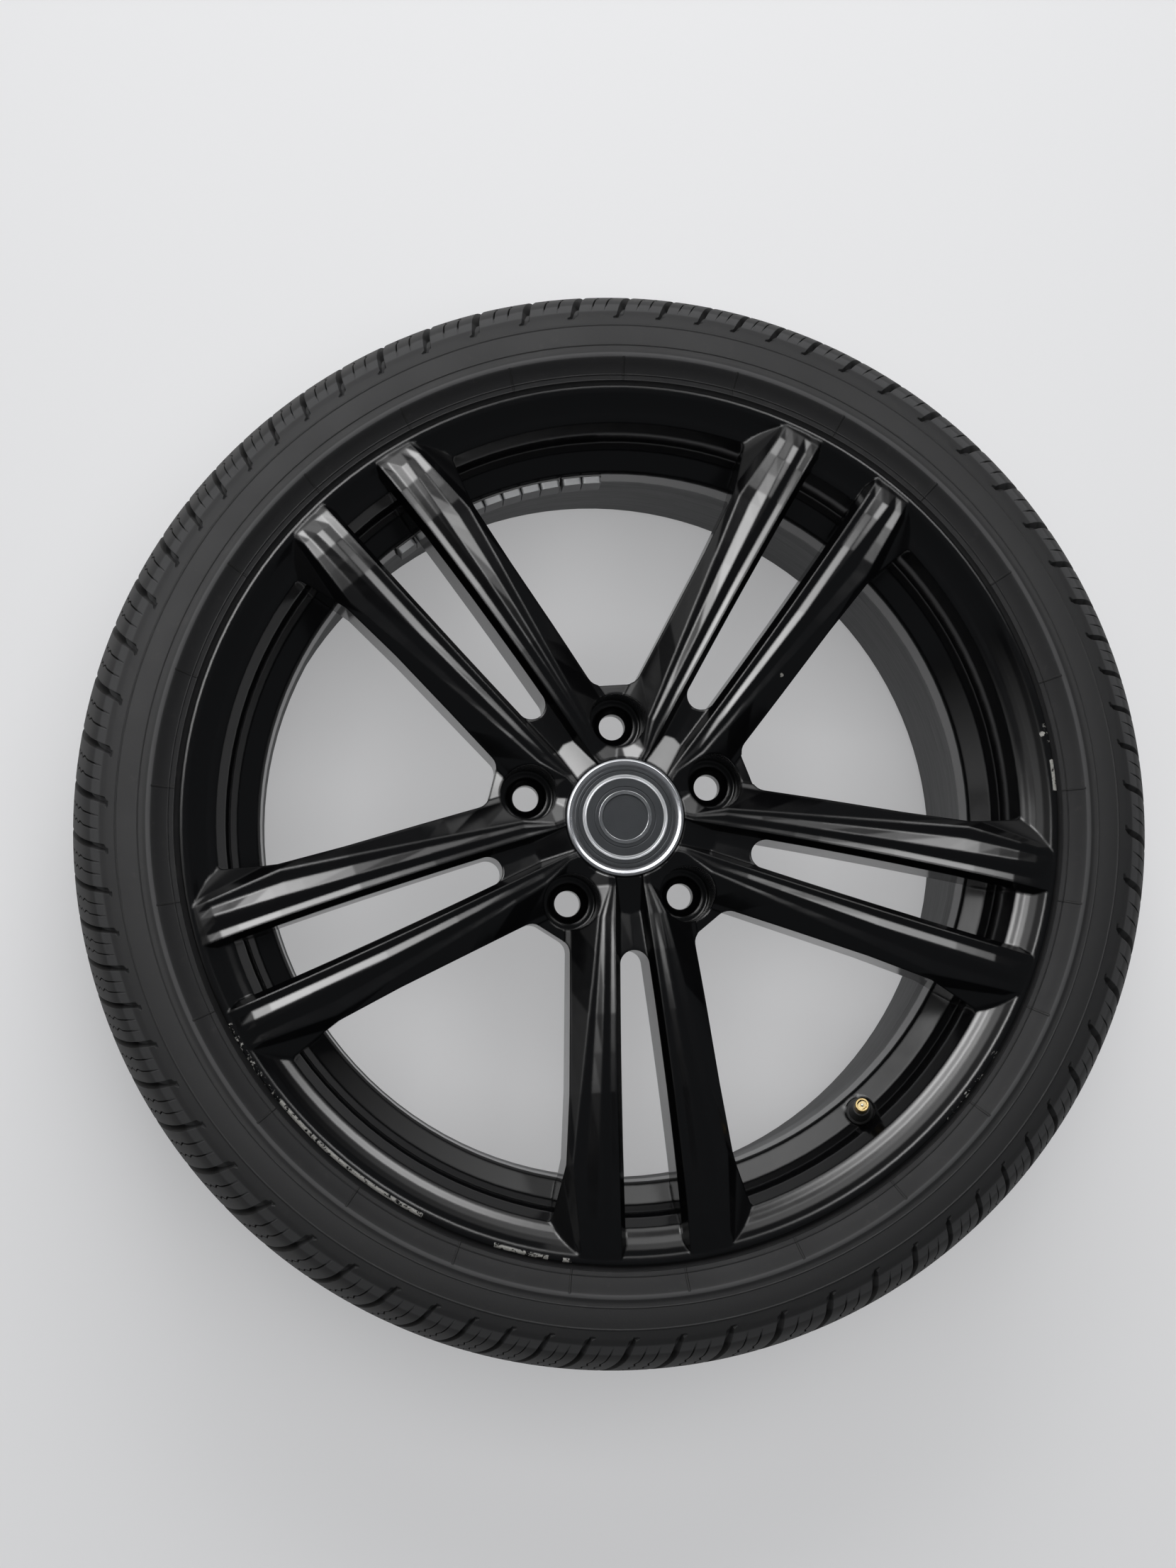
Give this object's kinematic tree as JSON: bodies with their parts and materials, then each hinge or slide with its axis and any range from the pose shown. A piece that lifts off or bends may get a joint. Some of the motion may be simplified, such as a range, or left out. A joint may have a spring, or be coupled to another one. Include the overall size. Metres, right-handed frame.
{
  "type": "car wheel and tyre assembly",
  "caption": "Black alloy car wheel with twin spokes, a directional winter tyre, snap-in valve, centre cap and stick-on balance weights.",
  "frame": {"origin": "centre of the hub mounting face, on the wheel's axis", "axes": "+Z along the wheel's axis, outward from the car; +Y along the middle of one pair of spokes, with the valve at -Y"},
  "size_m": [0.6339, 0.634, 0.2248],
  "materials": {
    "rim_black": "cast aluminium, gloss black on the face, satin grey in the barrel",
    "tyre_rubber": "black rubber, dusty",
    "cap_silver": "silver painted",
    "cap_grey": "dark grey, satin",
    "cap_bright": "bright",
    "wire": "spring steel",
    "valve_rubber": "matt",
    "valve_brass": "dull",
    "core_brass": "clean",
    "seal_white": "plain",
    "pin_steel": "bright",
    "tape": "foam",
    "weight_zinc": "dull zinc"
  },
  "bodies": {
    "wheel": {"rim": "rim_black", "tyre": "tyre_rubber", "cap_body": "cap_silver", "cap_disc": "cap_grey", "cap_emblem_ring": "cap_bright", "cap_spring_ring": "wire", "valve_rubber": "valve_rubber", "valve_stem": "valve_brass", "valve_core": "core_brass", "valve_core_seal": "seal_white", "valve_spring": "wire", "weight_tape_a": "tape", "weight_tape_b": "tape", "weight_1": "weight_zinc", "weight_2": "weight_zinc", "weight_3": "weight_zinc", "weight_4": "weight_zinc", "weight_5": "weight_zinc", "weight_6": "weight_zinc", "weight_7": "weight_zinc", "weight_8": "weight_zinc", "weight_9": "weight_zinc", "weight_10": "weight_zinc", "weight_11": "weight_zinc"},
    "core_pin": {"valve_pin": "pin_steel", "valve_cup": "valve_rubber"}
  },
  "joints": [
    {"name": "core_pin_slide", "type": "slide", "parent": "wheel", "child": "core_pin", "axis": [0, 0.2419, 0.9703], "range_m": [-0.0016, 0], "stiffness_N_per_m": 700, "springref_m": 0.001, "deforming": ["valve_spring"]}
  ]
}
